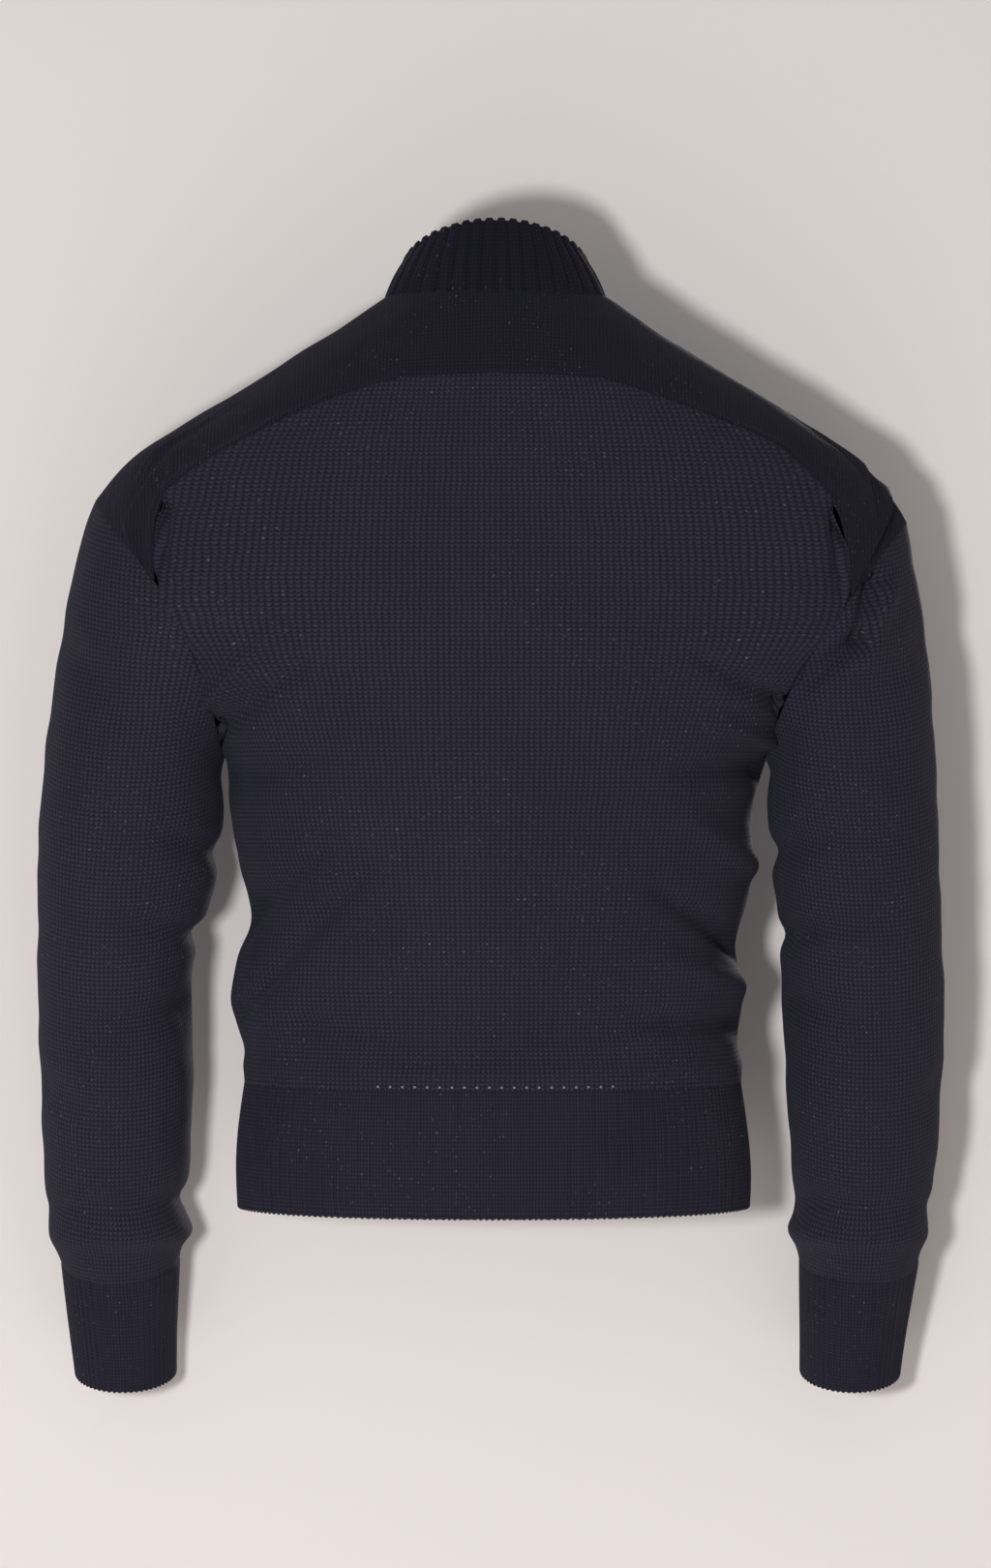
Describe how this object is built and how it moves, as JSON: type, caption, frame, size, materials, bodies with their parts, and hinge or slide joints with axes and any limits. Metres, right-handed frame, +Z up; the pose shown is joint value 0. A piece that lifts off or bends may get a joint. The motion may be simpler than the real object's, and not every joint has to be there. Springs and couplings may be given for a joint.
{
  "type": "military zip sweater, filled out with no wearer",
  "caption": "Navy fine-knit zip sweater with saddle yoke, ribbed stand collar, cuffs and hem, filled out and hanging from the shoulders.",
  "frame": {"origin": "in the neck at the height of the shoulders, where the wearer holds the garment up", "axes": "+X to the wearer's right, +Y forward, +Z up"},
  "size_m": [0.6398, 0.245, 0.8202],
  "materials": {
    "knit": "matte",
    "rib": "matte",
    "tape": "matte",
    "metal": "satin"
  },
  "bodies": {
    "garment": {"back": "knit", "front_left": "knit", "front_right": "knit", "yoke": "knit", "sleeve_left": "knit", "sleeve_right": "knit", "collar": "rib", "hem_back": "rib", "hem_front_left": "rib", "hem_front_right": "rib", "cuff_left": "rib", "cuff_right": "rib", "zip_tape_left": "tape", "zip_tape_right": "tape", "zip_chain_left": "metal", "zip_chain_right": "metal", "zip_slider": "metal", "zip_bail": "metal", "zip_stop_left": "metal", "zip_stop_right": "metal"},
    "pull_tab": {"zip_pull_tab": "metal"}
  },
  "joints": [
    {"name": "pull_tab_swing", "type": "hinge", "parent": "garment", "child": "pull_tab", "pos_m": [0, 0.07318, -0.03171], "axis": [1, 0, 0], "range_deg": [0, 165]}
  ]
}
